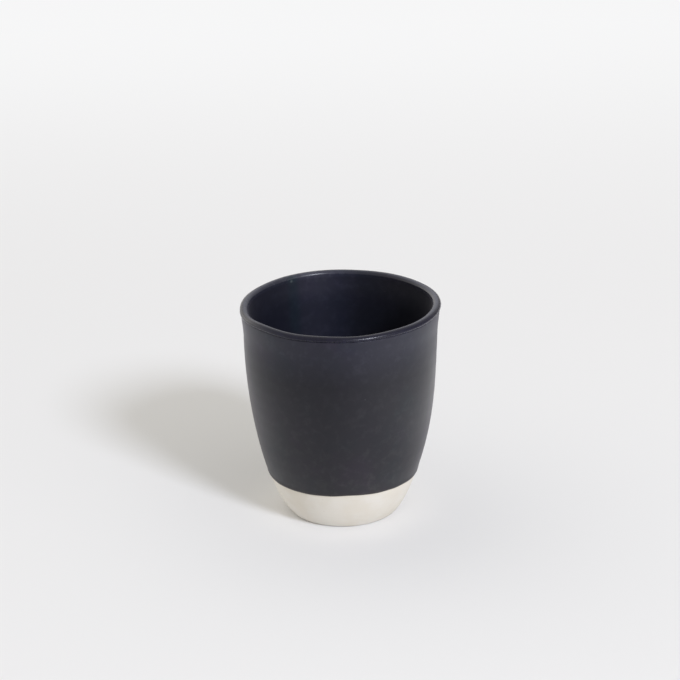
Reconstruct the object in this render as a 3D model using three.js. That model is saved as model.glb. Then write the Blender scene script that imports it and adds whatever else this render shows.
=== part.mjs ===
// A handleless stoneware mug: one thrown clay body, a glaze coat dipped on the outside down to a bare
// band above the foot, and a liner glaze poured inside. The two coats meet on the crest of the lip.
// Millimetres, +Z up. The cup stands on Z = 0, its axis is Z, and -Y is the front.

import * as THREE from 'three';

// Driving dimensions
const cupHeight = 93.9;         // table to the crest of the lip, over the glaze
const lipDiameter = 85;         // across the lip, over the glaze
const footDiameter = 46;        // across the foot, before its edge is softened
const wallThickness = 2.5;      // clay at the neck
const wallTaper = 1.2;          // how much thicker the wall is down at the foot
const floorThickness = 5.2;     // table to the clay floor inside
const glazeThickness = 0.35;    // both coats

// Outside of the wall
const bellyPower = 2.74;        // how late the wall turns upright: higher is a fuller belly
const footTuck = 2.1;           // how far the wall draws in just above the foot
const footTuckRise = 5;         // height over which the tuck dies out
const neckFlare = 0.87;         // how far the wall opens below the lip
const neckRise = 12.5;          // height of that opening
const lipBead = 0.45;           // how far the lip stands out over the wall
const lipUnderside = 0.55;      // height of the step from the wall out to the lip
const lipRound = 1.2;           // height of the rounded top of the lip

// Inside, and the turned foot
const floorFillet = 13;         // inner wall into the floor
const footBevel = 0.8;          // softened outer edge of the foot
const footRingWidth = 5.5;      // ring that the cup stands on
const footRecess = 1.3;         // hollow inside the ring
const recessSlope = 1;          // width of the step from the ring into the hollow
const recessDome = 0.3;         // rise of the hollow towards the middle

// The edge of the dipped glaze
const glazeLine = 18.1;         // bare clay below this height
const glazeRoll = 0.9;          // length of the rounded edge of the coat

// What the hand left: waves round the cup, each with its lobes, size and the direction of a peak in degrees
// from the front, counted towards +X.
const lipLevel = [
  { lobes: 1, size: 0.5, peak: 137 },
  { lobes: 2, size: 0.07, peak: -2 },
  { lobes: 3, size: 0.18, peak: -33 },
  { lobes: 4, size: 0.08, peak: 51 },
];
const lipRoundness = [
  { lobes: 2, size: 0.24, peak: -67 },
  { lobes: 3, size: 0.08, peak: -36 },
];
const glazeLineWave = [
  { lobes: 1, size: 0.05, peak: -136 },
  { lobes: 3, size: 0.38, peak: 9 },
];
const lipLevelPower = 2.2;      // how late the lip's waves set in, above the glaze line
const lean = -0.34;             // the lip leans this far along X
const leanCentre = 0.35;        // share of the height that stays on the axis
const throwingRidge = 0.1;      // one spiral ridge left by the fingers
const throwingPitch = 52;       // rise of the spiral in one turn
const throwingTurn = 54;        // its start, in degrees
const glazeLineReach = 6;       // height over which the glaze line's waves die out

// Facets
const segments = 60;            // round the cup
const spans = {
  dome: 2, step: 2, bevel: 2, band: 3, wall: 7, neck: 3, underside: 2, lip: 3, roll: 3, inner: 8, fillet: 5,
};

// Sizes that follow
const clayHeight = cupHeight - glazeThickness;
const footRadius = footDiameter / 2;
const wallRadius = lipDiameter / 2 - glazeThickness - neckFlare - lipBead;
const lipThickness = wallThickness + lipBead;
const shoulder = clayHeight - lipRound;         // where the rounded top of the lip begins
const crease = shoulder - lipUnderside;         // where the wall meets the lip
const neck = clayHeight - neckRise;             // where the wall begins to open
const filletTop = floorThickness + floorFillet;

const smooth = THREE.MathUtils.smoothstep;
const lerp = THREE.MathUtils.lerp;
const degrees = THREE.MathUtils.degToRad;

// Share of the height that is left up to the crest
function toLip(z) {
  return Math.max(0, 1 - z / clayHeight);
}

// Outer radius of the wall without its tuck and its lip. It swells from the foot to the upright wall as
// one minus a power, and then opens a little.
function wallOutside(z) {
  const swell = (wallRadius - footRadius - footTuck) * toLip(z) ** bellyPower;
  return wallRadius - swell + neckFlare * smooth(z, neck, clayHeight);
}

function outsideRadius(z) {
  return wallOutside(z) - footTuck * Math.exp(-z / footTuckRise) + lipBead * smooth(z, crease, shoulder);
}

function insideRadius(z) {
  return wallOutside(z) - wallThickness - wallTaper * toLip(z);
}

// Points [radius, height] at equal steps of height along a wall, without the first point.
function wallPoints(radiusAt, from, to, count) {
  return Array.from({ length: count }, (_, i) => {
    const z = lerp(from, to, (i + 1) / count);
    return new THREE.Vector2(radiusAt(z), z);
  });
}

// One half of the lip's rounded top, a quarter of an ellipse, without its first point.
function lipPoints(fromAngle, toAngle) {
  const middle = outsideRadius(shoulder) - lipThickness / 2;
  return Array.from({ length: spans.lip }, (_, i) => {
    const angle = lerp(fromAngle, toAngle, (i + 1) / spans.lip);
    return new THREE.Vector2(
      middle + (lipThickness / 2) * Math.cos(angle),
      shoulder + lipRound * Math.sin(angle),
    );
  });
}

// The glazed outside of the clay, from the glaze line up to the crest of the lip.
function outsideOfClay() {
  return [
    new THREE.Vector2(outsideRadius(glazeLine), glazeLine),
    ...wallPoints(outsideRadius, glazeLine, neck, spans.wall),
    ...wallPoints(outsideRadius, neck, crease, spans.neck),
    ...wallPoints(outsideRadius, crease, shoulder, spans.underside),
    ...lipPoints(0, Math.PI / 2),
  ];
}

// The inside of the clay, from the crest of the lip down to the middle of the floor. The fillet is a
// parabola that leaves the wall along the wall and meets the floor flat.
function insideOfClay() {
  const slope = (insideRadius(filletTop + 1) - insideRadius(filletTop - 1)) / 2;
  const start = new THREE.Vector2(insideRadius(filletTop), filletTop);
  const corner = new THREE.Vector2(start.x - slope * floorFillet, floorThickness);
  const end = new THREE.Vector2(Math.max(corner.x - floorFillet, corner.x / 3), floorThickness);
  const fillet = new THREE.QuadraticBezierCurve(start, corner, end);
  return [
    ...lipPoints(Math.PI / 2, Math.PI),
    ...wallPoints(insideRadius, shoulder, filletTop, spans.inner),
    ...fillet.getPoints(spans.fillet).slice(1),
    new THREE.Vector2(0, floorThickness),
  ];
}

// The underside and the bare band, from the middle of the foot's hollow out and up to the glaze line.
function footOfClay() {
  const ringInside = footRadius - footRingWidth;
  const hollow = ringInside - recessSlope;
  const dome = new THREE.QuadraticBezierCurve(
    new THREE.Vector2(0, footRecess + recessDome),
    new THREE.Vector2(hollow / 2, footRecess + recessDome),
    new THREE.Vector2(hollow, footRecess),
  );
  const step = new THREE.QuadraticBezierCurve(
    new THREE.Vector2(hollow, footRecess),
    new THREE.Vector2(ringInside, footRecess),
    new THREE.Vector2(ringInside, 0),
  );
  const bevel = new THREE.QuadraticBezierCurve(
    new THREE.Vector2(outsideRadius(0) - footBevel, 0),
    new THREE.Vector2(outsideRadius(0), 0),
    new THREE.Vector2(outsideRadius(footBevel), footBevel),
  );
  return [
    ...dome.getPoints(spans.dome),
    ...step.getPoints(spans.step).slice(1),
    ...bevel.getPoints(spans.bevel),
    ...wallPoints(outsideRadius, footBevel, glazeLine, spans.band).slice(0, -1),
  ];
}

// The free face of a coat: the clay's points, each moved out by the glaze's thickness along the clay's
// normal. The clay lies to the left of the line as it is walked.
function coatOver(clay) {
  return clay.map((point, i) => {
    const before = clay[Math.max(i - 1, 0)];
    const after = clay[Math.min(i + 1, clay.length - 1)];
    const along = new THREE.Vector2().subVectors(after, before).normalize();
    const out = new THREE.Vector2(along.y, -along.x);
    return point.clone().addScaledVector(out, glazeThickness);
  });
}

function wave(lobes, angle) {
  return lobes.reduce((sum, lobe) => (
    sum + lobe.size * Math.cos(lobe.lobes * (angle - degrees(lobe.peak)))
  ), 0);
}

// Turns the true form of the wheel into the one that the hand left. Every piece goes through the same
// rule, so faces that touch still touch.
function handShape(geometry) {
  const position = geometry.attributes.position;
  for (let i = 0; i < position.count; i += 1) {
    const x = position.getX(i);
    const y = position.getY(i);
    let z = position.getZ(i);
    let radius = Math.hypot(x, y);
    const angle = Math.atan2(x, -y);

    if (radius > outsideRadius(z) - wallThickness / 2) {
      const nearLine = Math.exp(-(((z - glazeLine) / glazeLineReach) ** 2));
      const slide = wave(glazeLineWave, angle) * nearLine * smooth(z, footBevel, glazeLine);
      radius += outsideRadius(z + slide) - outsideRadius(z);
      z += slide;
    }

    const height = z / clayHeight;
    const turn = angle + (2 * Math.PI * z) / throwingPitch + degrees(throwingTurn);
    const outOfRound = height ** 2 * wave(lipRoundness, angle) + throwingRidge * Math.sin(turn);
    const stretch = 1 + outOfRound / wallRadius;
    const rise = Math.max(0, (z - glazeLine) / (clayHeight - glazeLine)) ** lipLevelPower;
    position.setXYZ(
      i,
      radius * stretch * Math.sin(angle) + lean * (height - leanCentre),
      -radius * stretch * Math.cos(angle),
      z + rise * wave(lipLevel, angle),
    );
  }
  geometry.computeVertexNormals();
  return geometry;
}

// A profile turned once round the Z axis.
function turned(name, profile, material) {
  const geometry = new THREE.LatheGeometry(profile, segments);
  geometry.rotateX(Math.PI / 2);
  const mesh = new THREE.Mesh(handShape(geometry), material);
  mesh.name = name;
  return mesh;
}

// A coat is turned along the clay's own line in the clay's own direction, so that both have the same
// facets where they touch. That leaves the coat inside out, and its faces are turned round here.
function turnedCoat(name, profile, material) {
  const mesh = turned(name, profile, material);
  const index = mesh.geometry.index;
  for (let i = 0; i < index.count; i += 3) {
    const second = index.getX(i + 1);
    index.setX(i + 1, index.getX(i + 2));
    index.setX(i + 2, second);
  }
  mesh.geometry.computeVertexNormals();
  return mesh;
}

const outside = outsideOfClay();
const crest = outside[outside.length - 1];
const inside = insideOfClay();
const crestOfGlaze = new THREE.Vector2(crest.x, crest.y + glazeThickness);

function stonewareBody() {
  const clay = new THREE.MeshStandardMaterial({ color: 0xd8d0c2, roughness: 0.85, metalness: 0 });
  return turned('stoneware_body', [...footOfClay(), ...outside, ...inside], clay);
}

// The outer coat thins to nothing at the glaze line in a quarter of an ellipse.
function outerGlaze() {
  const glaze = new THREE.MeshStandardMaterial({ color: 0x33343c, roughness: 0.42, metalness: 0 });
  const coat = coatOver(outside).slice(1, -1).reverse();
  const line = outside[0];
  const roll = Array.from({ length: spans.roll }, (_, i) => {
    const share = 1 - i / spans.roll;
    const z = line.y + glazeRoll * share;
    const proud = glazeThickness * Math.sqrt(1 - (1 - share) ** 2);
    return new THREE.Vector2(outsideRadius(z) + proud, z);
  });
  return turnedCoat('outer_glaze', [...outside, crestOfGlaze, ...coat, ...roll, line], glaze);
}

function linerGlaze() {
  const glaze = new THREE.MeshStandardMaterial({ color: 0x23242c, roughness: 0.38, metalness: 0 });
  const clay = [crest, ...inside];
  const coat = coatOver(clay).slice(1, -1).reverse();
  const middle = new THREE.Vector2(0, floorThickness + glazeThickness);
  return turnedCoat('liner_glaze', [middle, ...coat, crestOfGlaze, ...clay], glaze);
}

const mug = new THREE.Group();
mug.add(stonewareBody(), outerGlaze(), linerGlaze());

export default mug;
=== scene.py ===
import math

import bpy
import numpy as np
from mathutils import Matrix, Vector


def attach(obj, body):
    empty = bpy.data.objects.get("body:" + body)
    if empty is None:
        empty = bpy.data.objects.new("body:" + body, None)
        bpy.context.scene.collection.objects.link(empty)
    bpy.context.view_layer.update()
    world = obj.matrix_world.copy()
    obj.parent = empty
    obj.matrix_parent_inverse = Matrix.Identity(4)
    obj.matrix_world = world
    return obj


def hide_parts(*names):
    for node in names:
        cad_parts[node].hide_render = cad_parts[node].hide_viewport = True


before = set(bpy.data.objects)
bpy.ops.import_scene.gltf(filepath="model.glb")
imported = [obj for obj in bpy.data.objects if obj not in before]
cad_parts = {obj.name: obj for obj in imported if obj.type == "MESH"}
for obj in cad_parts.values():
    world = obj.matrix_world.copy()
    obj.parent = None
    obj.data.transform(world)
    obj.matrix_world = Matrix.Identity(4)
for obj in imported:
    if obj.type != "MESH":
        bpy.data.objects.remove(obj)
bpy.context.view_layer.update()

mm = 0.001

# The turned form that all three pieces share, in millimetres
cup = {
    "height": 93.9,             # table to the crest of the lip, over the glaze
    "lipDiameter": 85,
    "footDiameter": 46,
    "wall": 2.5,                # clay at the neck
    "wallTaper": 1.2,           # how much thicker it is at the foot
    "floor": 5.2,
    "glaze": 0.35,
    "bellyPower": 2.74,         # how late the wall turns upright
    "footTuck": 2.1,
    "footTuckRise": 5,
    "neckFlare": 0.87,
    "neckRise": 12.5,
    "lipBead": 0.45,
    "lipUnderside": 0.55,
    "lipRound": 1.2,
    "floorFillet": 13,
    "footBevel": 0.8,
    "footRingWidth": 5.5,
    "footRecess": 1.3,
    "recessSlope": 1,
    "recessDome": 0.3,
    "glazeLine": 18.1,
    "glazeRoll": 0.9,
}

# What the hand left: each wave has its lobes round the cup, its size and the direction of a peak in
# degrees from the front, counted towards +X
hand = {
    "lipLevel": [(1, 0.5, 137), (2, 0.07, -2), (3, 0.18, -33), (4, 0.08, 51)],
    "lipRoundness": [(2, 0.24, -67), (3, 0.08, -36)],
    "glazeLine": [(1, 0.05, -136), (3, 0.38, 9)],
    "lipLevelPower": 2.2,
    "lean": -0.34,
    "leanCentre": 0.35,
    "ridge": 0.1,
    "ridgePitch": 52,
    "ridgeTurn": 54,
    "glazeLineReach": 6,
    "lipLevelFine": [(5, 0.08, 31), (6, 0.067, 14), (7, 0.096, -2.5), (8, 0.075, -9), (9, 0.059, -13)],
    "glazeLineFine": [(5, 0.045, -6), (8, 0.093, 4.8), (11, 0.033, 4.7), (15, 0.036, 5.6), (21, 0.04, 1.3)],
    "glazeLineFineReach": 1.2,
}

clayHeight = cup["height"] - cup["glaze"]
footRadius = cup["footDiameter"] / 2
wallRadius = cup["lipDiameter"] / 2 - cup["glaze"] - cup["neckFlare"] - cup["lipBead"]
lipThickness = cup["wall"] + cup["lipBead"]
shoulder = clayHeight - cup["lipRound"]
crease = shoulder - cup["lipUnderside"]


# Smooth step: 0 below low, 1 above high, and between them three squares less two cubes of the share
def smooth(x, low, high):
    share = np.clip((x - low) / (high - low), 0, 1)
    return share * share * (3 - 2 * share)


# Share of the height that is left up to the crest
def toLip(z):
    return np.clip(1 - z / clayHeight, 0, None)


# Outer radius of the wall without its tuck and its lip: full radius, less a power of the way left to the
# crest, plus the flare of the neck as a smooth step
def wallOutside(z):
    swell = (wallRadius - footRadius - cup["footTuck"]) * toLip(z) ** cup["bellyPower"]
    return wallRadius - swell + cup["neckFlare"] * smooth(z, clayHeight - cup["neckRise"], clayHeight)


# The wall less the tuck over the foot, which dies away by an exponential of the height, plus the bead of the
# lip, as a smooth step from the crease under it up to its shoulder
def outsideRadius(z):
    tuck = cup["footTuck"] * np.exp(-z / cup["footTuckRise"])
    return wallOutside(z) - tuck + cup["lipBead"] * smooth(z, crease, shoulder)


# The wall less the clay's thickness, which grows in a straight line from the crest down to the foot
def insideRadius(z):
    return wallOutside(z) - cup["wall"] - cup["wallTaper"] * toLip(z)


# Value noise: seeded numbers on a cubic lattice, blended by a quintic, between -1 and 1
def latticeNoise(points, size, seed):
    cells = 32
    numbers = np.random.default_rng(seed).uniform(-1, 1, (cells, cells, cells))
    place = points / size + cells / 2
    cell = np.floor(place).astype(int)
    share = place - cell
    share = share ** 3 * (share * (6 * share - 15) + 10)
    total = np.zeros(points.shape[:-1])
    for corner in np.ndindex(2, 2, 2):
        weight = np.prod(np.where(corner, share, 1 - share), axis=-1)
        at = (cell + corner) % cells
        total += weight * numbers[at[..., 0], at[..., 1], at[..., 2]]
    return total


# Sum of cosines round the cup, each from its lobes, its size and the direction of a peak in degrees
def wave(lobes, angle):
    return sum(size * np.cos(count * (angle - math.radians(peak))) for count, size, peak in lobes)


# From the true form of the wheel to the one that the hand left: the glaze line slides along the wall, the
# section goes out of round, the axis leans, and the lip rises and falls, by a power of the height above the
# glaze line
def handShape(radius, z, angle, onOutside):
    if onOutside:
        away = z - cup["glazeLine"]
        slide = wave(hand["glazeLine"], angle) * np.exp(-(away / hand["glazeLineReach"]) ** 2)
        slide = slide * smooth(z, cup["footBevel"], cup["glazeLine"])
        fine = wave(hand["glazeLineFine"], angle)
        slide = slide + fine * np.exp(-(away / hand["glazeLineFineReach"]) ** 2)
        radius = radius + outsideRadius(z + slide) - outsideRadius(z)
        z = z + slide
    height = z / clayHeight
    turn = angle + 2 * np.pi * z / hand["ridgePitch"] + math.radians(hand["ridgeTurn"])
    outOfRound = height ** 2 * wave(hand["lipRoundness"], angle) + hand["ridge"] * np.sin(turn)
    radius = radius * (1 + outOfRound / wallRadius)
    overLine = np.clip((z - cup["glazeLine"]) / (clayHeight - cup["glazeLine"]), 0, None)
    rise = overLine ** hand["lipLevelPower"]
    x = radius * np.sin(angle) + hand["lean"] * (height - hand["leanCentre"])
    y = -radius * np.cos(angle)
    lift = wave(hand["lipLevel"], angle) + wave(hand["lipLevelFine"], angle)
    return np.stack(np.broadcast_arrays(x, y, z + rise * lift), axis=-1)


# Out of the clay, for a line walked with the clay on its left
def outward(radius, z):
    alongR = np.gradient(radius)
    alongZ = np.gradient(z)
    length = np.hypot(alongR, alongZ)
    return alongZ / length, -alongR / length


# A line of the clay carried round the axis and moved out along its normal by proud, plus the relief that
# the fingers and the turning tool left
def surfaceOver(radius, z, proud, angle, relief, onOutside):
    outR, outZ = (values[:, None] for values in outward(radius, z))
    proud = np.broadcast_to(proud, radius.shape)[:, None]
    radius, z = radius[:, None], z[:, None]
    base = np.stack(np.broadcast_arrays(radius * np.sin(angle), -radius * np.cos(angle), z), axis=-1)
    move = proud + relief(base, z, angle)
    return handShape(radius + outR * move, z + outZ * move, angle, onOutside)


# Rows of points to a closed mesh. A row on the axis becomes one vertex; otherwise the last row joins the
# first. Shades are named values for the material, one per row or one per point. Edges along sharpRows keep
# their crease.
def meshFromRows(name, rows, shades, sharpRows=()):
    count, around = rows.shape[:2]
    onAxis = np.ptp(rows[:, :, 0], axis=1) < 1e-6
    index = np.zeros((count, around), int)
    firsts = np.concatenate([[0], np.cumsum(np.where(onAxis, 1, around))])
    index += firsts[:-1, None]
    index[~onAxis] += np.arange(around)
    keep = np.ones((count, around), bool)
    keep[onAxis, 1:] = False
    vertices = rows[keep] * mm
    follow = np.arange(count - 1) if onAxis.any() else np.arange(count)
    low = index[follow]
    high = index[(follow + 1) % count]
    quads = np.stack([low, np.roll(low, -1, 1), np.roll(high, -1, 1), high], axis=-1)
    poleBelow = onAxis[follow]
    poleAbove = onAxis[(follow + 1) % count]
    plain = quads[~poleBelow & ~poleAbove].reshape(-1, 4)
    fans = np.concatenate([quads[poleBelow][..., [0, 2, 3]].reshape(-1, 3),
                           quads[poleAbove][..., [0, 1, 2]].reshape(-1, 3)])
    corners = vertices[plain]
    volume = np.einsum("ij,ij->", corners[:, 0], np.cross(corners[:, 1], corners[:, 2]))
    volume += np.einsum("ij,ij->", corners[:, 0], np.cross(corners[:, 2], corners[:, 3]))
    if volume < 0:
        plain, fans = plain[:, ::-1], fans[:, ::-1]
    mesh = bpy.data.meshes.new(name)
    mesh.from_pydata(vertices, [], plain.tolist() + fans.tolist())
    mesh.polygons.foreach_set("use_smooth", np.ones(len(mesh.polygons), bool))
    for title, values in shades.items():
        shade = mesh.attributes.new(title, "FLOAT", "POINT")
        everywhere = np.broadcast_to(values.reshape(count, -1), (count, around))
        shade.data.foreach_set("value", everywhere[keep].astype(np.float32))
    if len(sharpRows):
        rowOf = np.repeat(np.arange(count), keep.sum(axis=1))
        ends = np.zeros(len(mesh.edges) * 2, int)
        mesh.edges.foreach_get("vertices", ends)
        ends = rowOf[ends.reshape(-1, 2)]
        sharp = (ends[:, 0] == ends[:, 1]) & np.isin(ends[:, 0], sharpRows)
        mesh.attributes.new("sharp_edge", "BOOLEAN", "EDGE").data.foreach_set("value", sharp)
    piece = bpy.data.objects.new(name, mesh)
    bpy.context.scene.collection.objects.link(piece)
    print(name, len(mesh.polygons), "faces")
    return piece


# A socket whose operators add Math nodes
class Wire:
    def __init__(self, shading, socket):
        self.shading, self.socket = shading, socket

    def maths(self, operation, *values):
        return self.shading.node("ShaderNodeMath", {"operation": operation}, dict(enumerate(values)))

    def __add__(self, other):
        return self.maths("ADD", self, other)

    def __radd__(self, other):
        return self.maths("ADD", other, self)

    def __sub__(self, other):
        return self.maths("SUBTRACT", self, other)

    def __rsub__(self, other):
        return self.maths("SUBTRACT", other, self)

    def __mul__(self, other):
        return self.maths("MULTIPLY", self, other)

    def __rmul__(self, other):
        return self.maths("MULTIPLY", other, self)

    def __truediv__(self, other):
        return self.maths("DIVIDE", self, other)

    def __rtruediv__(self, other):
        return self.maths("DIVIDE", other, self)


# A node tree that is emptied and then filled. Every node comes from node(): its type, its settings, which are
# set first, the values or links of its sockets, and the number of the output that is read.
class Shading:
    def __init__(self, owner):
        owner.use_nodes = True
        self.tree = owner.node_tree
        self.tree.nodes.clear()

    def node(self, kind, settings=None, sockets=None, out=0):
        node = self.tree.nodes.new(kind)
        for key, value in (settings or {}).items():
            if key == "stops":
                self.setStops(node.color_ramp.elements, value)
            else:
                setattr(node, key, value)
        for key, value in (sockets or {}).items():
            if isinstance(value, Wire):
                self.tree.links.new(value.socket, node.inputs[key])
            else:
                node.inputs[key].default_value = value
        return Wire(self, node.outputs[out]) if node.outputs else None

    # The first stop of a colour ramp is at 0 and its last at 1
    def setStops(self, elements, stops):
        elements[0].color = (*stops[0][1], 1)
        elements[1].color = (*stops[-1][1], 1)
        for place, colour in stops[1:-1]:
            elements.new(place).color = (*colour, 1)

    def ramp(self, value, stops):
        return self.node("ShaderNodeValToRGB", {"stops": stops}, {0: value})

    # The point's place on its own object, in metres
    def objectPlace(self):
        return self.node("ShaderNodeTexCoord", out=3)

    def axis(self, vector, number):
        return self.node("ShaderNodeSeparateXYZ", None, {"Vector": vector}, out=number)

    # One of the named values that meshFromRows keeps at the vertices
    def shade(self, name):
        return self.node("ShaderNodeAttribute", {"attribute_name": name}, out=2)

    # A Vector Math node; a length or a distance is its output 1
    def vector(self, operation, *values, out=0):
        return self.node("ShaderNodeVectorMath", {"operation": operation}, dict(enumerate(values)), out)

    def noise(self, where, size, detail, roughness):
        return self.node("ShaderNodeTexNoise", None, {
            "Vector": where, "Scale": 1 / size, "Detail": detail, "Roughness": roughness})

    def step(self, value, low, high):
        return self.node("ShaderNodeMapRange", {"interpolation_type": "SMOOTHSTEP"},
                         {"Value": value, "From Min": low, "From Max": high})

    # Small round spots in the middle of the cells of a Voronoi pattern; chance picks which cells have one, by
    # the cell's own colour, and reach is the soft edge of a spot as a share of its cell
    def spots(self, where, size, chance, reach):
        cells = {"Vector": where, "Scale": 1 / size}
        distance = self.node("ShaderNodeTexVoronoi", None, cells)
        colour = self.node("ShaderNodeTexVoronoi", None, cells, out=1)
        chosen = self.step(self.node("ShaderNodeSeparateColor", None, {"Color": colour}), *chance)
        return (1 - self.step(distance, *reach)) * chosen

    # Inputs 6 and 7 and output 2 of a Mix node are its colours
    def mix(self, share, first, second, way="MIX"):
        ends = [end if isinstance(end, Wire) else (*end, 1) for end in (first, second)]
        settings = {"data_type": "RGBA", "blend_type": way}
        return self.node("ShaderNodeMix", settings, {0: share, 6: ends[0], 7: ends[1]}, out=2)

    def tint(self, share, first, factors):
        return self.mix(share, first, factors, "MULTIPLY")


def newMaterial(name):
    material = bpy.data.materials.new(name)
    return material, Shading(material)


# Dark satin glaze. Its blue body is deepest near the lip and turns lighter and greyer towards the foot; that
# lightening is painted light, the lower wall's reflection of the bright floor. Painted light and shade also
# lie across it from left to right. Clouds lean to green or violet; a fine mottle and a few pinholes lie over
# it. The lip is glossier, and painted shade darkens its band. Along its crest the coat breaks lighter, with
# painted highlight added, and it goes brown and dry where it thins to nothing at its lower edge. A pair is
# where a soft step starts and ends.
glazeLook = {
    # by height: bluer at the neck, and lighter and greyer towards the foot by painted light from the floor
    "byHeight": [                   # share of the cup's height, colour
        (0, (0.0295, 0.0290, 0.0335)),
        (0.19, (0.0295, 0.0290, 0.0335)),
        (0.35, (0.0215, 0.0211, 0.0262)),
        (0.52, (0.0170, 0.0165, 0.0220)),
        (0.65, (0.0140, 0.0136, 0.0188)),
        (0.75, (0.0108, 0.0106, 0.0158)),
        (0.80, (0.0122, 0.0121, 0.0192)),
        (0.90, (0.0180, 0.0181, 0.0295)),
        (1, (0.0180, 0.0183, 0.0300)),
    ],
    # across the cup from left to right, a tint of painted shade left of the middle and painted light on the
    # right
    "across": [                     # share of the way from left to right, tint
        (0, (0.95, 0.95, 0.95)),
        (0.28, (0.86, 0.86, 0.86)),
        (0.42, (0.72, 0.72, 0.74)),
        (0.60, (1.0, 1.0, 1.0)),
        (0.84, (1.0, 1.0, 1.0)),
        (1, (0.9, 0.9, 0.9)),
    ],
    # lighter crest: the coat breaking, and painted highlight along the lip
    "broken": (0.069, 0.074, 0.106),
    "thinBrown": (0.060, 0.052, 0.042),
    "pinhole": (0.09, 0.09, 0.10),
    "green": (0.84, 1.03, 1.02),    # this and the next three multiply the body
    "violet": (1.12, 0.95, 1.12),
    "mottled": (1.8, 1.8, 1.6),
    # painted shade: it darkens the band of the lip
    "lip": (0.31, 0.30, 0.56),
    "cloudSize": 0.021,
    "hueSize": 0.0273,
    "hueShift": (3, 1, 2),          # so that the hue's noise isn't the clouds'
    "cloudShare": 0.8,
    "greenStep": (0.50, 0.70),
    "violetStep": (0.48, 0.68),
    "mottleSize": 0.0032,
    "mottleShare": 0.55,
    "mottleStep": (0.45, 0.75),
    "grainSize": 0.00045,
    "pinholeSize": 0.0050,
    "pinholeChance": (0.86, 0.90),
    "pinholeReach": (0.025, 0.060),
    "pinholeShare": 0.35,
    "brokenAndHighlightBy": {"plain": 0.55, "mottle": 0.6},
    "relief": {"mottle": 0.5, "grain": 0.35, "pinhole": 1.2, "lipSmooth": 0.7},
    "bumpStrength": 0.3,
    "bumpDepth": 0.00006,
    "roughness": 0.43,
    "roughnessBy": {"cloud": 0.08, "mottle": 0.06, "thin": 0.25},
    "lipRoughness": 0.27,
    "lipCoat": 0.16,
    "lipCoatRoughness": 0.2,
    "ior": 1.34,
    "sheen": 0.14,
    "sheenTint": (0.90, 0.87, 1.00),
    "sheenRoughness": 0.3,
}

# The liner is the same glaze, thicker and so blue all the way down. Painted light makes it lighter on the
# left of the middle, where the lamp shines in, and painted shade makes it darker to either side, most on the
# right. It has one pale speck at the back, with a soft halo and a greenish run below it.
linerLook = dict(
    glazeLook,
    # lighter towards the crest: painted light, where the lamp reaches the top of the inner wall
    byHeight=[
        (0, (0.0120, 0.0130, 0.0255)),
        (0.75, (0.0130, 0.0142, 0.0275)),
        (0.88, (0.0150, 0.0162, 0.0303)),
        (1, (0.0238, 0.0240, 0.0400)),
    ],
    # painted light on the left of the middle, where the lamp shines in, and painted shade to either side
    across=[
        (0, (0.48, 0.50, 0.52)),
        (0.22, (0.54, 0.55, 0.57)),
        (0.32, (0.97, 0.96, 0.93)),
        (0.40, (1.0, 1.0, 0.98)),
        (0.50, (0.68, 0.72, 0.77)),
        (0.60, (0.47, 0.47, 0.48)),
        (0.76, (0.40, 0.37, 0.37)),
        (1, (0.32, 0.32, 0.33)),
    ],
    green=(0.90, 1.02, 1.02),
    violet=(1.03, 0.97, 1.08),
    # painted light: it lightens the inside of the lip
    lip=(1.8, 1.8, 1.6),
    roughness=0.52,
    speckPlace=(-0.0212, 0.0325, 0.0921),
    speck=(0.105, 0.125, 0.130),
    speckReach=(0.0003, 0.0008),
    speckShare=0.6,
    halo=(0.028, 0.036, 0.042),
    haloReach=(0.0004, 0.0030),
    haloShare=0.25,
    speckWaver=0.0006,
    runPlace=(-0.0204, 0.0325, 0.0801),
    run=(0.66, 1.10, 1.00),
    runReach=(0.0008, 0.0046),
    runShare=0.8,
    runFlat=0.16,                   # the smaller, the longer the run hangs down the wall
    runWaver=0.003,
)


# The run is laid on first and then the speck with its halo: each is a soft ball round its own place, whose
# edge wavers with the noise
def addSpeck(shading, look, here, body, cloud, grain):
    apart = shading.vector("SUBTRACT", here, look["runPlace"])
    apart = shading.vector("MULTIPLY", apart, (1, 1, look["runFlat"]))
    away = shading.vector("LENGTH", apart, out=1) + (cloud - 0.5) * look["runWaver"]
    run = 1 - shading.step(away, *look["runReach"])
    body = shading.tint(run * look["runShare"], body, look["run"])
    away = shading.vector("DISTANCE", here, look["speckPlace"], out=1) + (grain - 0.5) * look["speckWaver"]
    halo = 1 - shading.step(away, *look["haloReach"])
    body = shading.mix(halo * look["haloShare"], body, look["halo"])
    speck = 1 - shading.step(away, *look["speckReach"])
    return shading.mix(speck * look["speckShare"], body, look["speck"])


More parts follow.
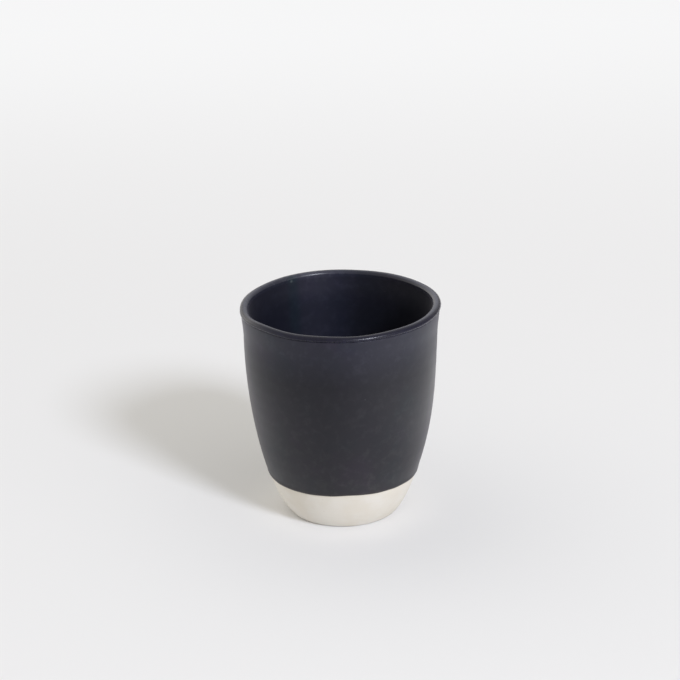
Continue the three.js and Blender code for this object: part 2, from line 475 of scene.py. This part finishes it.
def glazeMaterial(name, look):
    material, shading = newMaterial(name)
    here = shading.objectPlace()
    side, height = shading.axis(here, 0), shading.axis(here, 2)
    thin, broken, lip = [shading.shade(shade) for shade in ("thin", "broken", "lip")]
    cloud = shading.noise(here, look["cloudSize"], detail=4, roughness=0.70)
    elsewhere = shading.node("ShaderNodeMapping", None, {"Vector": here, "Location": look["hueShift"]})
    hue = shading.noise(elsewhere, look["hueSize"], detail=4, roughness=0.65)
    mottle = shading.noise(here, look["mottleSize"], detail=4, roughness=0.6)
    grain = shading.noise(here, look["grainSize"], detail=2, roughness=0.5)
    pinhole = shading.spots(here, look["pinholeSize"], look["pinholeChance"], look["pinholeReach"])
    # Colour by height, which carries painted light: lighter towards the foot outside and towards the crest
    # inside
    body = shading.ramp(height / (cup["height"] * mm), look["byHeight"])
    # Painted light and shade: a tint by the side of the cup, from left to right
    acrossTint = shading.ramp(side / (cup["lipDiameter"] * mm) + 0.5, look["across"])
    body = shading.tint(1, body, acrossTint)
    body = shading.tint(shading.step(hue, *look["greenStep"]) * look["cloudShare"], body, look["green"])
    body = shading.tint(shading.step(cloud, *look["violetStep"]) * look["cloudShare"], body, look["violet"])
    pale = shading.step(mottle, *look["mottleStep"]) * look["mottleShare"]
    body = shading.tint(pale, body, look["mottled"])
    body = shading.mix(pinhole * look["pinholeShare"], body, look["pinhole"])
    # Painted shade on the outer lip's band and painted light on the liner's, by the lip's share
    body = shading.tint(lip, body, look["lip"])
    # The lighter crest: the coat breaking, with painted highlight
    by = look["brokenAndHighlightBy"]
    body = shading.mix(broken * (by["plain"] + mottle * by["mottle"]), body, look["broken"])
    body = shading.mix(thin, body, look["thinBrown"])
    if "speck" in look:
        body = addSpeck(shading, look, here, body, cloud, grain)
    rough = look["roughness"] + lip * (look["lipRoughness"] - look["roughness"])
    by = look["roughnessBy"]
    rough = rough + (cloud - 0.5) * by["cloud"] + (mottle - 0.5) * by["mottle"] + thin * by["thin"]
    by = look["relief"]
    relief = mottle * by["mottle"] + grain * by["grain"] - pinhole * by["pinhole"]
    relief = relief * (1 - lip * by["lipSmooth"])
    bump = {"Strength": look["bumpStrength"], "Distance": look["bumpDepth"], "Height": relief}
    surface = shading.node("ShaderNodeBsdfPrincipled", None, {
        "Base Color": body, "Roughness": rough, "Normal": shading.node("ShaderNodeBump", None, bump),
        "IOR": look["ior"], "Coat Weight": lip * look["lipCoat"], "Coat Roughness": look["lipCoatRoughness"],
        "Sheen Weight": look["sheen"], "Sheen Roughness": look["sheenRoughness"],
        "Sheen Tint": (*look["sheenTint"], 1)})
    shading.node("ShaderNodeOutputMaterial", None, {"Surface": surface})
    return material


# Bare stoneware: pale cream, dry, with a fine grain, faint turning lines and a few tiny specks of iron
clayLook = {
    "pale": (0.735, 0.704, 0.644),
    "warm": (0.678, 0.622, 0.530),
    "speck": (0.33, 0.25, 0.17),
    "patchSize": 0.012,
    "patchShare": 0.55,
    "patchStep": (0.35, 0.70),
    "grainSize": 0.0005,
    "lineRise": 0.00055,
    "lineShare": 0.25,
    "lineStep": (0.50, 0.80),
    "lineStretch": 0.06,
    "speckSize": 0.0028,
    "speckChance": (0.74, 0.78),
    "speckReach": (0.03, 0.09),
    "speckShare": 0.35,
    "haloShare": 0.6,               # how warm the clay goes beside the glaze
    "relief": {"grain": 0.6, "line": 0.8},
    "bumpStrength": 0.4,
    "bumpDepth": 0.00008,
    "roughness": 0.78,
    "roughnessByGrain": 0.12,
    "ior": 1.4,
}


def clayMaterial(name, look):
    material, shading = newMaterial(name)
    here = shading.objectPlace()
    halo = shading.shade("halo")
    patch = shading.noise(here, look["patchSize"], detail=3, roughness=0.5)
    grain = shading.noise(here, look["grainSize"], detail=3, roughness=0.6)
    stretch = (look["lineStretch"], look["lineStretch"], 1)
    flat = shading.node("ShaderNodeMapping", None, {"Vector": here, "Scale": stretch})
    lines = shading.noise(flat, look["lineRise"], detail=2, roughness=0.55)
    speck = shading.spots(here, look["speckSize"], look["speckChance"], look["speckReach"])
    warm = shading.step(patch, *look["patchStep"]) * look["patchShare"]
    body = shading.mix(warm, look["pale"], look["warm"])
    body = shading.mix(shading.step(lines, *look["lineStep"]) * look["lineShare"], body, look["warm"])
    body = shading.mix(speck * look["speckShare"], body, look["speck"])
    body = shading.mix(halo * look["haloShare"], body, look["warm"])
    relief = grain * look["relief"]["grain"] + lines * look["relief"]["line"]
    bump = {"Strength": look["bumpStrength"], "Distance": look["bumpDepth"], "Height": relief}
    surface = shading.node("ShaderNodeBsdfPrincipled", None, {
        "Base Color": body, "Roughness": look["roughness"] + (grain - 0.5) * look["roughnessByGrain"],
        "Normal": shading.node("ShaderNodeBump", None, bump), "IOR": look["ior"]})
    shading.node("ShaderNodeOutputMaterial", None, {"Surface": surface})
    return material


angles = np.linspace(0, 2 * np.pi, 360, endpoint=False)     # one column of points for each degree

# Relief of the thrown wall: soft dents under the fingers and faint level ridges. The inset draws it all in,
# so that the waves of the lip stay inside the size of the solids.
wallRelief = {
    "dent": 0.07,
    "dentSize": 17,
    "ripple": 0.018,
    "ripplePitch": 6.2,
    "rippleWander": 0.4,            # the share of its strength that comes and goes
    "fine": 0.012,
    "fineSize": 3.1,
    "axisFade": 8,
    "inset": 0.055,
}

# Relief of the turned foot: narrow lines and wider steps, which hardly change round the cup
footRelief = {
    "line": 0.016,
    "lineRise": 0.7,
    "wide": 0.03,
    "wideRise": 3.2,
    "roundAbout": 25,
    "blend": 3,
    "seatFade": 0.4,
}


# Dents and fine unevenness are value noise; the ripples are a sine of the height, wound once round the cup,
# whose strength wanders and which fade out near the axis
def thrownRelief(base, z, angle):
    dents = wallRelief["dent"] * latticeNoise(base, wallRelief["dentSize"], seed=11)
    wander = wallRelief["rippleWander"]
    strength = 1 - wander + wander * latticeNoise(base, wallRelief["dentSize"], seed=12)
    offAxis = smooth(np.hypot(base[..., 0], base[..., 1]), 0, wallRelief["axisFade"])
    ripples = wallRelief["ripple"] * strength * np.sin(2 * np.pi * z / wallRelief["ripplePitch"] + angle)
    fine = wallRelief["fine"] * latticeNoise(base, wallRelief["fineSize"], seed=13)
    return dents + ripples * offAxis + fine - wallRelief["inset"]


# Value noise on places that are squeezed round the cup, so that it draws out into level lines
def turnedRelief(base):
    flat = base * (1 / footRelief["roundAbout"], 1 / footRelief["roundAbout"], 1)
    lines = footRelief["line"] * latticeNoise(flat, footRelief["lineRise"], seed=21)
    return lines + footRelief["wide"] * latticeNoise(flat, footRelief["wideRise"], seed=22)


# Outside, the turned foot passes into the thrown wall at the glaze line, by a smooth step of the height
def outsideRelief(base, z, angle):
    thrown = smooth(z, cup["glazeLine"] - footRelief["blend"], cup["glazeLine"] + footRelief["blend"])
    return (1 - thrown) * turnedRelief(base) + thrown * thrownRelief(base, z, angle)


# The underside keeps the rings of the turning tool, so its noise is read by the radius
def undersideRelief(base, z, angle):
    radius = np.hypot(base[..., 0], base[..., 1])
    rings = np.stack([0 * radius, 0 * radius, radius], axis=-1)
    return turnedRelief(rings) * smooth(z, 0, footRelief["seatFade"])


# The rounded top of the lip: a part of an ellipse, as wide as the clay of the lip, from one angle to another
def lipLine(start, end, count):
    turn = np.linspace(start, end, count)
    middle = outsideRadius(shoulder) - lipThickness / 2
    return middle + lipThickness / 2 * np.cos(turn), shoulder + cup["lipRound"] * np.sin(turn)


# Several lines end to end, each a pair of radius and height
def join(*lines):
    return np.concatenate([line[0] for line in lines]), np.concatenate([line[1] for line in lines])


# The clay's outside from a height up to the crest of the lip: the wall, the step under the lip and half of
# the lip's ellipse
def outsideLine(start, wallRows, stepRows, lipRows):
    z = np.linspace(start, crease, wallRows, endpoint=False)
    step = np.linspace(crease, shoulder, stepRows, endpoint=False)
    return join((outsideRadius(z), z), (outsideRadius(step), step), lipLine(0, np.pi / 2, lipRows))


# The clay's inside from the crest to the middle of the floor. The fillet is a parabola that leaves the wall
# along the wall and meets the floor flat.
def insideLine(lipRows, wallRows, filletRows, floorRows):
    top = cup["floor"] + cup["floorFillet"]
    z = np.linspace(shoulder, top, wallRows + 1)[1:]
    slope = (insideRadius(top + 1) - insideRadius(top - 1)) / 2
    corner = insideRadius(top) - slope * cup["floorFillet"]
    end = corner - cup["floorFillet"]
    t = np.linspace(0, 1, filletRows + 1)[1:]
    filletR = (1 - t) ** 2 * insideRadius(top) + 2 * t * (1 - t) * corner + t ** 2 * end
    filletZ = (1 - t) ** 2 * top + (1 - (1 - t) ** 2) * cup["floor"]
    r = np.linspace(end, 0, floorRows + 1)[1:]
    return join(lipLine(np.pi / 2, np.pi, lipRows), (insideRadius(z), z), (filletR, filletZ),
                (r, np.full_like(r, cup["floor"])))


# The underside from the middle of the hollow out to the foot's softened edge, in three parabolas
def undersideLine(domeRows, stepRows, bevelRows):
    ringInside = footRadius - cup["footRingWidth"]
    hollow = ringInside - cup["recessSlope"]
    top = cup["footRecess"] + cup["recessDome"]
    t = np.linspace(0, 1, domeRows)
    dome = (t * hollow, (1 - t ** 2) * top + t ** 2 * cup["footRecess"])
    t = np.linspace(0, 1, stepRows)[1:]
    step = ((1 - t) ** 2 * hollow + (1 - (1 - t) ** 2) * ringInside, (1 - t ** 2) * cup["footRecess"])
    t = np.linspace(0, 1, bevelRows)
    edge = outsideRadius(0.0)
    bevelR = (1 - t) ** 2 * (edge - cup["footBevel"]) + 2 * t * (1 - t) * edge
    bevel = (bevelR + t ** 2 * outsideRadius(cup["footBevel"]), t ** 2 * cup["footBevel"])
    return join(dome, step, bevel)


def finishPiece(piece, node, material):
    piece.data.materials.append(material)
    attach(piece, "root")
    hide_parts(node)


# The bare band: its rows, how far they run on under the glaze, and how far the glaze warms the clay beside it
bareBand = {
    "rows": 130,
    "past": 1.5,
    "haloReach": 0.7,
}


# The clay body: underside, bare band, and the wall under both coats
def clayPiece():
    under = undersideLine(domeRows=40, stepRows=12, bevelRows=10)
    z = np.linspace(cup["footBevel"], cup["glazeLine"] + bareBand["past"], bareBand["rows"])[1:]
    band = (outsideRadius(z), z)
    covered = outsideLine(z[-1], wallRows=24, stepRows=4, lipRows=6)
    inner = insideLine(lipRows=6, wallRows=20, filletRows=8, floorRows=3)
    wallR, wallZ = join(band, (covered[0][1:], covered[1][1:]))
    rows = np.concatenate([
        surfaceOver(*under, 0, angles, undersideRelief, False),
        surfaceOver(wallR, wallZ, 0, angles, outsideRelief, True),
        surfaceOver(inner[0][1:], inner[1][1:], 0, angles, thrownRelief, False),
    ])
    heights = np.concatenate([under[1], wallZ, inner[1][1:]])
    halo = np.exp(-((heights - cup["glazeLine"]) / bareBand["haloReach"]) ** 2)
    halo[:len(under[0])] = 0
    piece = meshFromRows("clayBody", rows, {"halo": halo})
    finishPiece(piece, "stoneware_body", clayMaterial("bare clay", clayLook))


# The crest of the lip: how far from it, in millimetres, the coats break lighter outside and inside, how much
# they do, how both change round the cup, and how far down the lip's own gloss reaches. The lighter crest is
# partly the coat breaking and partly painted highlight; its changes round the cup set where the painted
# highlight is strongest.
crestLook = {
    "outside": 0.35,
    "inside": 0.88,
    "amount": 0.62,
    "around": [(2, -0.34, 0), (1, 0.16, 90), (1, -0.08, 0)],
    "widthAround": [(2, -0.55, 0), (1, 0.2, 90), (1, -0.10, 0)],
    "lipFrom": 2.5,
    "lipUpTo": 3.2,
}


# The lighter crest, the coat breaking with painted highlight, is a bell of the way from the crest; lip is 1
# near the crest and falls to 0 by a smooth step
def crestShades(away, reach):
    width = reach * (1 + wave(crestLook["widthAround"], angles))
    amount = crestLook["amount"] + wave(crestLook["around"], angles)
    broken = amount * np.exp(-(away[:, None] / width) ** 2)
    return broken, 1 - smooth(away, crestLook["lipFrom"], crestLook["lipUpTo"])


# The outer coat's edge, in millimetres along the wall: it rises to its full thickness over a quarter circle,
# is a little fatter just past that, and goes thin and dry at the very edge and more faintly above it
edgeLook = {
    "fatter": 0.35,
    "fatterAt": 1.1,
    "fatterReach": 0.8,
    "dry": 0.7,
    "dryReach": 0.35,
    "faint": 0.3,
    "faintReach": 1.5,
}


# The outer coat: its free face from the rolled edge up to the crest, and its back on the clay
def outerGlazePiece(material):
    r, z = outsideLine(cup["glazeLine"], wallRows=165, stepRows=12, lipRows=30)
    along = np.concatenate([[0], np.cumsum(np.hypot(np.diff(r), np.diff(z)))])
    roll = np.clip(along / cup["glazeRoll"], 0, 1)
    fatter = edgeLook["fatter"] * np.exp(-((along - edgeLook["fatterAt"]) / edgeLook["fatterReach"]) ** 2)
    proud = cup["glaze"] * np.sqrt(1 - (1 - roll) ** 2) * (1 + fatter)
    face = surfaceOver(r, z, proud, angles, outsideRelief, True)
    backLine = outsideLine(cup["glazeLine"], wallRows=24, stepRows=4, lipRows=5)
    back = surfaceOver(*backLine, 0, angles, outsideRelief, True)[::-1]
    rows = np.concatenate([face, back[:-1]])
    fromEdge = np.concatenate([along, np.full(len(back) - 1, along[-1])])
    thin = edgeLook["dry"] * np.exp(-(fromEdge / edgeLook["dryReach"]) ** 2)
    thin = thin + edgeLook["faint"] * np.exp(-(fromEdge / edgeLook["faintReach"]) ** 2)
    broken, lip = crestShades(along[-1] - fromEdge, crestLook["outside"])
    shades = {"thin": thin, "broken": broken, "lip": lip}
    piece = meshFromRows("outerGlaze", rows, shades, (0, len(face) - 1, len(face)))
    finishPiece(piece, "outer_glaze", material)


# The liner: its free face from the middle of the floor up to the crest, and its back on the clay
def linerGlazePiece(material):
    r, z = insideLine(lipRows=28, wallRows=110, filletRows=40, floorRows=20)
    along = np.concatenate([[0], np.cumsum(np.hypot(np.diff(r), np.diff(z)))])
    face = surfaceOver(r, z, cup["glaze"], angles, thrownRelief, False)[::-1]
    backLine = insideLine(lipRows=5, wallRows=14, filletRows=8, floorRows=3)
    back = surfaceOver(*backLine, 0, angles, thrownRelief, False)
    rows = np.concatenate([face, back])
    fromCrest = np.concatenate([along[::-1], np.zeros(len(back))])
    broken, lip = crestShades(fromCrest, crestLook["inside"])
    shades = {"thin": 0 * lip, "broken": broken, "lip": lip}
    piece = meshFromRows("linerGlaze", rows, shades, (len(face) - 1, len(face)))
    finishPiece(piece, "liner_glaze", material)


clayPiece()
outerGlazePiece(glazeMaterial("outer glaze", glazeLook))
linerGlazePiece(glazeMaterial("liner glaze", linerLook))
print("mug made")

# Camera: the photograph's own place and lens, worked out for a lip of 85 mm, in millimetres and degrees
view = {"place": (-0.42, -953.8, 440.6), "down": 20.88, "roll": -0.95, "lens": 127.06, "sensor": 36}


def makeCamera():
    data = bpy.data.cameras.new("camera")
    data.sensor_width = view["sensor"]
    data.lens = view["lens"]
    data.clip_start = 0.01
    data.clip_end = 50
    camera = bpy.data.objects.new("camera", data)
    bpy.context.scene.collection.objects.link(camera)
    turn = Matrix.Rotation(math.radians(90 - view["down"]), 4, "X")
    turn = turn @ Matrix.Rotation(math.radians(view["roll"]), 4, "Z")
    camera.matrix_world = Matrix.Translation(Vector(view["place"]) * mm) @ turn
    bpy.context.scene.camera = camera


# Floor: one pale round sheet, wide enough to be the background of every view from above. Far behind the mug
# the camera sees it pass into a plain pale backdrop, which adds no light.
floorLook = {
    "colour": (0.834, 0.834, 0.837),
    "behind": (0.925, 0.925, 0.930),
    "passFrom": 0.2,
    "passUpTo": 0.9,
    "radius": 14,
    "corners": 96,
}


def makeFloor():
    t = np.linspace(0, 2 * np.pi, floorLook["corners"], endpoint=False)
    rim = np.stack([np.cos(t), np.sin(t), 0 * t], axis=-1) * floorLook["radius"]
    mesh = bpy.data.meshes.new("floor")
    mesh.from_pydata(rim.tolist(), [], [list(range(len(t)))])
    floor = bpy.data.objects.new("floor", mesh)
    bpy.context.scene.collection.objects.link(floor)
    material, shading = newMaterial("floor")
    depth = shading.axis(shading.objectPlace(), 1)
    share = shading.step(depth, floorLook["passFrom"], floorLook["passUpTo"])
    lit = shading.node("ShaderNodeBsdfDiffuse", None, {"Color": (*floorLook["colour"], 1)})
    seen = shading.node("ShaderNodeEmission", None, {"Color": (*floorLook["behind"], 1)})
    byCamera = shading.node("ShaderNodeLightPath")
    surface = shading.node("ShaderNodeMixShader", None, {0: byCamera * share, 1: lit, 2: seen})
    shading.node("ShaderNodeOutputMaterial", None, {"Surface": surface})
    mesh.materials.append(material)


# Light: one soft lamp at the front right, two lit cards on the floor, and the room. The room's brightness is
# given in eight directions, from the front (-Y) round over the right (+X), at five heights, each the sine of
# its elevation, and overhead. Above the floor's far edge the camera sees a pale backdrop.
light = {
    "keyTurn": 34.6,
    "keyRise": 35.1,
    "keyDistance": 6.0,
    "keySize": 1.42,
    "keyPower": 194,
    "keyColour": (0.95, 0.99, 1.12),
    "cards": [                      # place, size and power
        ((0.25, -0.12, 0.001), (0.34, 0.54), 0.36),
        ((-0.19, 0.12, 0.001), (0.22, 0.34), 0.065),
    ],
    "roomTint": (1.0, 0.975, 0.925),
    "behind": (0.90, 0.90, 0.905),
    "roomRange": 3.0,
    "room": {
        0.00: (0.4, 0.9, 0.4, 0.2, 0.3, 1.6, 1.2, 0.5),
        0.17: (0.4, 1.2, 0.5, 0.3, 0.4, 1.8, 1.3, 0.4),
        0.37: (0.6, 1.3, 0.4, 0.6, 0.8, 1.4, 1.1, 0.5),
        0.62: (0.6, 1.1, 0.5, 0.5, 0.8, 0.9, 0.8, 0.7),
        0.85: (0.5, 0.6, 0.7, 0.8, 1.0, 0.8, 0.6, 0.6),
        1.00: (0.67, 0.67, 0.67, 0.67, 0.67, 0.67, 0.67, 0.67),
    },
}


def makeKey():
    data = bpy.data.lights.new("key", "AREA")
    data.shape = "DISK"
    data.size = light["keySize"]
    data.energy = light["keyPower"]
    data.color = light["keyColour"]
    key = bpy.data.objects.new("key", data)
    bpy.context.scene.collection.objects.link(key)
    turn, rise = math.radians(light["keyTurn"]), math.radians(light["keyRise"])
    way = Vector((math.sin(turn) * math.cos(rise), -math.cos(turn) * math.cos(rise), math.sin(rise)))
    key.location = way * light["keyDistance"]
    key.rotation_euler = way.to_track_quat("Z", "Y").to_euler()


# The cards lie on the floor to the right and the left, face up
def makeCards():
    for place, size, power in light["cards"]:
        data = bpy.data.lights.new("card", "AREA")
        data.shape = "RECTANGLE"
        data.size, data.size_y = size
        data.energy = power
        card = bpy.data.objects.new("card", data)
        bpy.context.scene.collection.objects.link(card)
        card.location = place
        card.rotation_euler = (math.pi, 0, 0)


# The world: one ramp of brightness round the horizon for each height, mixed by the height of the direction
def makeRoom():
    world = bpy.data.worlds.new("room")
    bpy.context.scene.world = world
    shading = Shading(world)
    way = shading.node("ShaderNodeTexCoord")
    x, y, z = [shading.axis(way, number) for number in range(3)]
    turn = x.maths("ARCTAN2", x, 0 - y) / (2 * math.pi)
    turn = turn.maths("FRACT", turn + 1)
    room, below = None, None
    for height, around in light["room"].items():
        stops = [(k / len(around), value) for k, value in enumerate(around)] + [(1, around[0])]
        tint = [value / light["roomRange"] for value in light["roomTint"]]
        stops = [(place, tuple(value * part for part in tint)) for place, value in stops]
        ring = shading.ramp(turn, stops)
        if room is not None:
            rise = {"Value": z, "From Min": below, "From Max": height}
            ring = shading.mix(shading.node("ShaderNodeMapRange", None, rise), room, ring)
        room, below = ring, height
    lit = shading.node("ShaderNodeBackground", None, {"Color": room, "Strength": light["roomRange"]})
    seen = shading.node("ShaderNodeBackground", None, {"Color": (*light["behind"], 1)})
    byCamera = shading.node("ShaderNodeLightPath")
    surface = shading.node("ShaderNodeMixShader", None, {0: byCamera, 1: lit, 2: seen})
    shading.node("ShaderNodeOutputWorld", None, {"Surface": surface})


makeCamera()
makeFloor()
makeKey()
makeCards()
makeRoom()
bpy.context.scene.view_settings.view_transform = "Standard"
print("studio made")
